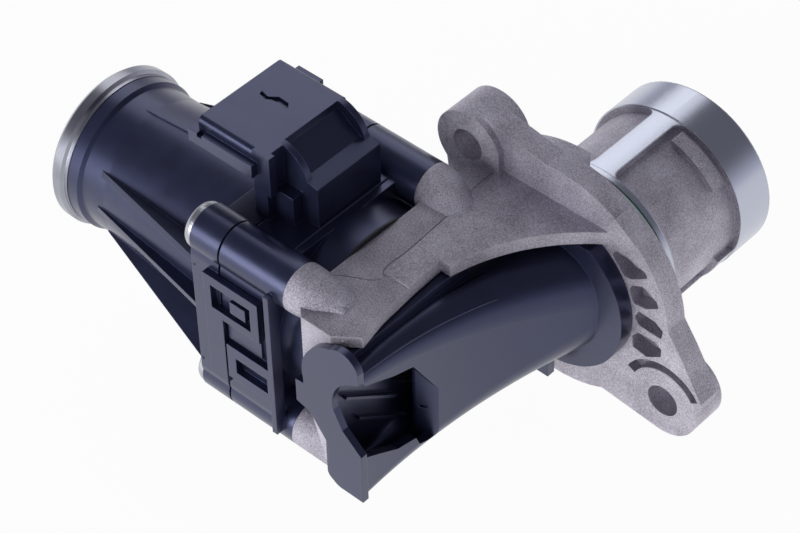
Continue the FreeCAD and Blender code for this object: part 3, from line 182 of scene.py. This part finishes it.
def bare_metal(name, dark, light, rough, line_mm=0.3, edge_mm=0.15):
    """Turned, drawn or rolled metal: fine lines round the axis of the actuator, a little uneven."""
    material, tree, shader, place = start_material(name, Metallic=1.0)
    cloud = add(tree, "ShaderNodeTexNoise", {"Scale": 1 / 5.0, "Detail": 3.0}, {"Vector": place})
    sheen = add(tree, "ShaderNodeMapRange", {"To Min": rough - 0.02, "To Max": rough + 0.03}, {"Value": cloud})
    tree.links.new(sheen.outputs["Result"], shader.inputs["Roughness"])
    tree.links.new(two_tones(tree, cloud, dark, light), shader.inputs["Base Color"])
    # The real lines are finer than 0.1 mm, and are drawn as wide as line_mm so that they show
    stretch = add(tree, "ShaderNodeMapping", {"Scale": (1 / line_mm, 0.15, 0.15)}, {"Vector": place})
    lines = add(tree, "ShaderNodeTexNoise", {"Scale": 1.0, "Detail": 2.0}, {"Vector": stretch})
    soften(tree, shader, lines, 0.01, edge_mm)
    return material


def fluorocarbon_rubber(name, dark, light):
    """Moulded seal rubber: even, slightly waxy, with a faint oily sheen."""
    material, tree, shader, place = start_material(name, IOR=1.45, Roughness=0.42)
    cloud = add(tree, "ShaderNodeTexNoise", {"Scale": 1 / 3.0, "Detail": 2.0}, {"Vector": place})
    tree.links.new(two_tones(tree, cloud, dark, light), shader.inputs["Base Color"])
    soften(tree, shader, cloud, 0.02, 0.2)
    return material


def pressed_powder(name, dark, light, rough, metallic=0.0):
    """Ferrite, carbon or porous bronze, pressed from powder: dull, with grit all over."""
    material, tree, shader, place = start_material(name, Metallic=metallic, Roughness=rough)
    # The powder is about 0.1 mm, drawn coarser so that it shows
    grit = add(tree, "ShaderNodeTexNoise", {"Scale": 1 / 0.25, "Detail": 3.0}, {"Vector": place})
    tree.links.new(two_tones(tree, grit, dark, light), shader.inputs["Base Color"])
    soften(tree, shader, grit, 0.03, 0.15)
    return material


def enamelled_copper_wire():
    """Winding wire, 0.4 mm thick, laid side by side under clear enamel."""
    material, tree, shader, place = start_material("enamelled_copper_wire", Metallic=1.0, Roughness=0.3)
    turns = {"wave_type": "BANDS", "bands_direction": "Y", "Scale": 0.8}
    strand_relief_and_shade = add(tree, "ShaderNodeTexWave", turns, {"Vector": place}).outputs["Fac"]
    # Each turn is painted darker towards the gaps between turns and lighter on its crown: painted shade and highlight,
    # besides the relief
    tree.links.new(two_tones(tree, strand_relief_and_shade, "#8a3b1d", "#d98a56"), shader.inputs["Base Color"])
    soften(tree, shader, strand_relief_and_shade, 0.1, 0.1)
    return material


def finished_piece(name, bm, material):
    """Turns a mesh in millimetres into a piece of the part that rides on the housing."""
    bmesh.ops.recalc_face_normals(bm, faces=bm.faces)
    mesh = bpy.data.meshes.new(name)
    bm.to_mesh(mesh)
    bm.free()
    mesh.transform(Matrix.Scale(MM, 4))
    mesh.materials.append(material)
    piece = bpy.data.objects.new(name, mesh)
    bpy.context.scene.collection.objects.link(piece)
    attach(piece, "housing")
    return piece


def join_rows(bm, rows):
    """Skin over rings of points, closed at both ends."""
    count = len(rows[0])
    for one, other in zip(rows, rows[1:]):
        for k in range(count):
            bm.faces.new((one[k], one[(k + 1) % count], other[(k + 1) % count], other[k]))
    bm.faces.new(rows[0])
    bm.faces.new(rows[-1])


def raised_line(bm, points, wide, high, up):
    """A low ridge with a round back along a path: the trace of a joint between two parts of the mould."""
    rows = []
    for k, point in enumerate(points):
        point = Vector(point)
        ahead = Vector(points[min(k + 1, len(points) - 1)]) - Vector(points[max(k - 1, 0)])
        side = ahead.cross(up).normalized()
        taper = 0.35 if k in (0, len(points) - 1) else 1.0
        turns = [math.pi * j / 4 for j in range(5)]
        # The foot sinks 0.02 mm in the surface
        rows.append([bm.verts.new(point + side * (wide / 2 * math.cos(turn))
                                  + up * (high * taper * math.sin(turn) - 0.02)) for turn in turns])
    join_rows(bm, rows)


def smooth_path(points, parts=6):
    """Points on a smooth curve through the given ones."""
    path = []
    for k in range(len(points) - 1):
        a, b, c, e = (Vector(points[min(max(k + j, 0), len(points) - 1)]) for j in (-1, 0, 1, 2))
        for step in range(parts):
            t = step / parts
            path.append(0.5 * ((2 * b) + (c - a) * t + (2 * a - 5 * b + 4 * c - e) * t ** 2
                               + (3 * b - a - 3 * c + e) * t ** 3))
    path.append(Vector(points[-1]))
    return path


def mould_traces(housing, duct):
    """The fine lines that the halves and slides of the moulds leave on the roof, the gear housing and the duct."""
    up = Vector((0, 0, 1))
    bm = bmesh.new()
    corner = [(-24.0, -70.4), (-24.9, -66.9), (-24.7, -64.1), (-23.9, -62.5), (-20.3, -60.2), (-16.5, -58.2),
              (-14.6, -56.4)]
    beside = [(-14.6, -55.2), (-16.0, -54.3), (-16.7, -51.8), (-16.5, -46.0), (-16.9, -38.0), (-17.5, -30.0),
              (-18.5, -22.5), (-19.1, -16.0), (-19.0, -10.6)]
    for points in (corner, beside):
        raised_line(bm, smooth_path([(x, y, ROOF_Z) for x, y in points]), 0.3, 0.1, up)
    # The roof's parting lines are painted dark: painted shade along these thin ridges
    shade_painted = die_cast_aluminium("die_cast_aluminium_painted_shade_lines", "#3d383d", "#6b656c")
    finished_piece("roof_parting_lines", bm, shade_painted)
    # A sharp lip across the top of the gear housing, beside the tower of the plug
    bm = bmesh.new()
    raised_line(bm, [(-36.0, -64.6 + 4.0 * step, GEAR_HOUSING_Z) for step in range(11)], 0.5, 0.45, up)
    finished_piece("gear_housing_lip", bm, housing)
    # The duct's mould closes along the round corner between its top and its right side. From the open end to the
    # flange that side swings out, the top falls a little, and the corner gets rounder
    bm = bmesh.new()
    seam = []
    for step in range(13):
        y = DUCT_END_Y + 2.4 + 41.0 * step / 12
        share = (y - DUCT_END_Y) / DUCT_LENGTH
        right = -0.9 + 17.1 * share ** 2.2
        high = 18.3 - 2.1 * share
        round_by = (2.6 + 10.4 * share) * (1 - math.sqrt(0.5))
        seam.append((right - round_by, y, high - round_by))
    raised_line(bm, seam, 0.5, 0.3, Vector((1, 0, 1)).normalized())
    finished_piece("duct_parting_line", bm, duct)


def boss_fairings(cast):
    """Where each upper screw boss runs out in the casting: a round back that sinks below the roof and the wall."""
    bm = bmesh.new()
    length, inward, down, narrower = 13.0, 3.0, 1.35, 1.9
    for side in (-1, 1):
        rows = []
        for step in range(15):
            share = step / 14
            sink = inward * share ** 1.7
            radius = BOSS_RAD + 0.04 - narrower * share ** 2
            centre = Vector((BOSS_X + 0.25 + length * share, AXIS_Y + side * (SCREW_DY - sink), SCREW_DZ - down * sink))
            # Each ring leans with the slope of the line through the middles
            tilt = math.atan2(down * inward * 1.7 * share ** 0.7, length)
            turns = [2 * math.pi * k / 40 for k in range(40)]
            rows.append([bm.verts.new(centre + radius * Vector((
                math.sin(turn) * math.sin(tilt), math.cos(turn), math.sin(turn) * math.cos(tilt)))) for turn in turns])
        join_rows(bm, rows)
    finished_piece("boss_fairings", bm, cast)


def housing_screws(plated):
    """Four pan-head screws with a six-lobed drive recess and a round head that is flat underneath."""
    bm = bmesh.new()
    # Along the screw from its seat, and radius: floor and rim of the recess, round of the head, shank, tip
    profile = [(-1.6, 2.0), (-2.75, 2.05), (-2.8, 2.35), (-2.78, 4.4), (-2.6, 5.2), (-2.2, 5.8), (-1.6, 6.1),
               (-0.9, 6.2), (-0.15, 6.2), (0.0, 6.05), (0.0, 2.5), (35.2, 2.5), (36.0, 1.8)]
    recess_rows, lobe = 2, 0.28
    for side in (-1, 1):
        for level in (-1, 1):
            rows = []
            for row, (along, radius) in enumerate(profile):
                ring = []
                for k in range(48):
                    turn = 2 * math.pi * k / 48
                    reach = radius + (lobe * math.cos(6 * turn) if row < recess_rows else 0.0)
                    ring.append(bm.verts.new((SCREW_SEAT_X + along, AXIS_Y + side * SCREW_DY + reach * math.cos(turn),
                                              level * SCREW_DZ + reach * math.sin(turn))))
                rows.append(ring)
            join_rows(bm, rows)
    piece = finished_piece("pan_head_screws", bm, plated)
    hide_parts("long_screws")


def dress_nodes():
    """Gives each CAD node the material of the real piece."""
    # The third colour of each moulded finish is painted on its edges as a highlight
    housing = moulded_plastic("moulded_glass_filled_pbt", "#171a2a", "#1f2337", "#474b66", 0.34)
    duct = moulded_plastic("moulded_glass_filled_pps", "#161928", "#1e2235", "#4b4f6a", 0.34, 0.4, 0.25)
    gears = moulded_plastic("moulded_acetal", "#cfc8b4", "#ded8c6", "#e6e1d2", 0.35, 0.3, 0.1)
    laminate = moulded_plastic("lacquered_board_laminate", "#0f3a22", "#155231", "#2c6b48", 0.3, 0.3, 0.05)
    chip = moulded_plastic("epoxy_chip", "#0c0c0d", "#151516", "#2a2a2c", 0.5, 0.2, 0.05)
    cast = die_cast_aluminium("die_cast_aluminium", "#8d8895", "#eae6f2")
    steel = bare_metal("turned_stainless_steel", "#a3a19e", "#c4c2bf", 0.3)
    plated = bare_metal("zinc_plated_steel", "#a9abb0", "#c6c8cd", 0.34)
    rolled = bare_metal("pressed_steel_cap", "#9799a2", "#a8aab4", 0.28, 0.4, 0.08)
    lamination = bare_metal("stamped_core_steel", "#4a4b4f", "#6a6b70", 0.45, 0.5)
    tinned = bare_metal("tinned_brass", "#b9b3a0", "#d8d3c2", 0.3)
    green = fluorocarbon_rubber("green_moulded_fkm", "#0d7a58", "#14976e")
    black = fluorocarbon_rubber("black_moulded_fkm", "#0e0e0f", "#19191a")
    bronze = pressed_powder("sintered_bronze", "#7c5c36", "#a88352", 0.4, 1.0)
    ferrite = pressed_powder("pressed_ferrite", "#232326", "#333338", 0.55)
    carbon = pressed_powder("pressed_carbon", "#141415", "#26262a", 0.6)
    copper = enamelled_copper_wire()
    finishes = {
        cast: ["valve_body"],
        housing: ["gear_housing", "motor_housing", "brush_holder"],
        duct: ["mixing_duct"],
        gears: ["output_gear", "intermediate_gear"],
        laminate: ["sensor_board"],
        chip: ["hall_sensor"],
        steel: ["seat_ring", "poppet_valve", "drive_pin", "guide_rollers", "guide_sleeve", "return_spring",
                "intermediate_pin", "rotor_shaft", "brush_springs"],
        plated: ["long_screws", "compression_sleeves", "motor_can"],
        rolled: ["end_cap"],
        lamination: ["rotor_core"],
        tinned: ["connector_terminals", "motor_leads"],
        green: ["spigot_o_ring", "duct_o_ring"],
        black: ["stem_seal", "housing_gasket", "body_gasket", "damper_ring"],
        bronze: ["stem_bush", "motor_pinion", "rear_bearing", "front_bearing"],
        ferrite: ["sensor_magnet", "magnets"],
        carbon: ["brushes"],
        copper: ["rotor_windings", "commutator"],
    }
    for material, names in finishes.items():
        for name in names:
            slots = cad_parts[name].data.materials
            slots.clear()
            slots.append(material)
    return cast, housing, duct, plated


def aim_camera():
    """The viewpoint fitted to the photograph, at its own frame of 800 by 533."""
    azimuth, elevation, roll = (math.radians(angle) for angle in (43.35, 44.54, 1.61))
    level = math.cos(elevation)
    back = Vector((math.sin(azimuth) * level, -math.cos(azimuth) * level, math.sin(elevation)))
    right = Vector((math.cos(azimuth), math.sin(azimuth), 0))
    up = back.cross(right)
    side = right * math.cos(roll) - up * math.sin(roll)
    over = right * math.sin(roll) + up * math.cos(roll)
    lens = bpy.data.cameras.new("photo_view")
    lens.sensor_fit, lens.sensor_width = "HORIZONTAL", 36.0
    # The fit gives the focal length in pixels of a frame 800 wide, and the camera's place in millimetres
    lens.lens = 2812.66 / 800 * lens.sensor_width
    lens.clip_start, lens.clip_end = 0.01, 20
    camera = bpy.data.objects.new("photo_view", lens)
    place = Matrix.Translation(Vector((305.36, -388.99, 482.22)) * MM)
    camera.matrix_world = place @ Matrix((side, over, back)).transposed().to_4x4()
    bpy.context.scene.collection.objects.link(camera)
    bpy.context.scene.camera = camera


def soft_lamp(name, place_mm, target_mm, size_mm, watts):
    """A square studio softbox that faces a point on the part."""
    lamp = bpy.data.lights.new(name, "AREA")
    lamp.shape, lamp.size, lamp.energy = "SQUARE", size_mm * MM, watts
    box = bpy.data.objects.new(name, lamp)
    direction = Vector(target_mm) - Vector(place_mm)
    place = Matrix.Translation(Vector(place_mm) * MM)
    box.matrix_world = place @ direction.to_track_quat("-Z", "Y").to_matrix().to_4x4()
    bpy.context.scene.collection.objects.link(box)


def seen_directly(tree):
    """1 where the camera, a reflection or a refraction looks straight at a surface."""
    path = add(tree, "ShaderNodeLightPath").outputs
    seen = add(tree, "ShaderNodeMath", {"operation": "MAXIMUM"}, {0: path["Is Camera Ray"], 1: path["Is Glossy Ray"]})
    return add(tree, "ShaderNodeMath", {"operation": "MAXIMUM"}, {0: seen, 1: path["Is Transmission Ray"]})


def white_table():
    """A sweep of white paper that stays near white behind the part and takes its shadow."""
    mesh = bpy.data.meshes.new("table")
    half, level = FLOOR_HALF * MM, FLOOR_Z * MM
    mesh.from_pydata([(-half, -half, level), (half, -half, level), (half, half, level), (-half, half, level)],
                     [], [(0, 1, 2, 3)])
    table = bpy.data.objects.new("table", mesh)
    bpy.context.scene.collection.objects.link(table)
    paper = bpy.data.materials.new("white_paper_sweep")
    paper.use_nodes = True
    tree = paper.node_tree
    tree.nodes.clear()
    matt = add(tree, "ShaderNodeBsdfDiffuse", {"Color": linear("#f4f4f8")})
    glow = add(tree, "ShaderNodeEmission", {"Color": (1, 1, 1, 1), "Strength": 1.0})
    share = add(tree, "ShaderNodeMath", {"operation": "MULTIPLY", 1: 0.96}, {0: seen_directly(tree)})
    mixed = add(tree, "ShaderNodeMixShader", links={0: share, 1: matt, 2: glow})
    add(tree, "ShaderNodeOutputMaterial", links={"Surface": mixed})
    table.data.materials.append(paper)


def pale_room():
    """A plain room, paler near the table than overhead, and white where the camera looks past the part."""
    world = bpy.data.worlds.new("pale_room")
    world.use_nodes = True
    tree = world.node_tree
    tree.nodes.clear()
    for_camera = add(tree, "ShaderNodeLightPath").outputs["Is Camera Ray"]
    direction = add(tree, "ShaderNodeTexCoord").outputs["Generated"]
    look = add(tree, "ShaderNodeSeparateXYZ", links={"Vector": direction})
    walls = add(tree, "ShaderNodeMapRange", {"From Min": 0.0, "From Max": 0.4, "To Min": 0.9, "To Max": 0.2},
                {"Value": look.outputs["Z"]})
    plain = add(tree, "ShaderNodeBackground", {"Color": linear("#ececfa")}, {"Strength": walls})
    white = add(tree, "ShaderNodeBackground", {"Color": (1, 1, 1, 1), "Strength": 1.0})
    mixed = add(tree, "ShaderNodeMixShader", links={0: for_camera, 1: plain, 2: white})
    add(tree, "ShaderNodeOutputWorld", links={"Surface": mixed})
    bpy.context.scene.world = world


def studio():
    """White table, plain room and two soft lamps."""
    bpy.context.scene.view_settings.view_transform = "Standard"
    white_table()
    pale_room()
    soft_lamp("overhead_back", (-470, 400, 560), (-10, -20, 0), 560, 1.3)
    soft_lamp("low_front_left", (-200, -660, 40), (-50, -40, -20), 460, 3.6)


aim_camera()
studio()
cast_metal, housing_plastic, duct_plastic, plated_steel = dress_nodes()
mould_traces(housing_plastic, duct_plastic)
boss_fairings(cast_metal)
housing_screws(plated_steel)
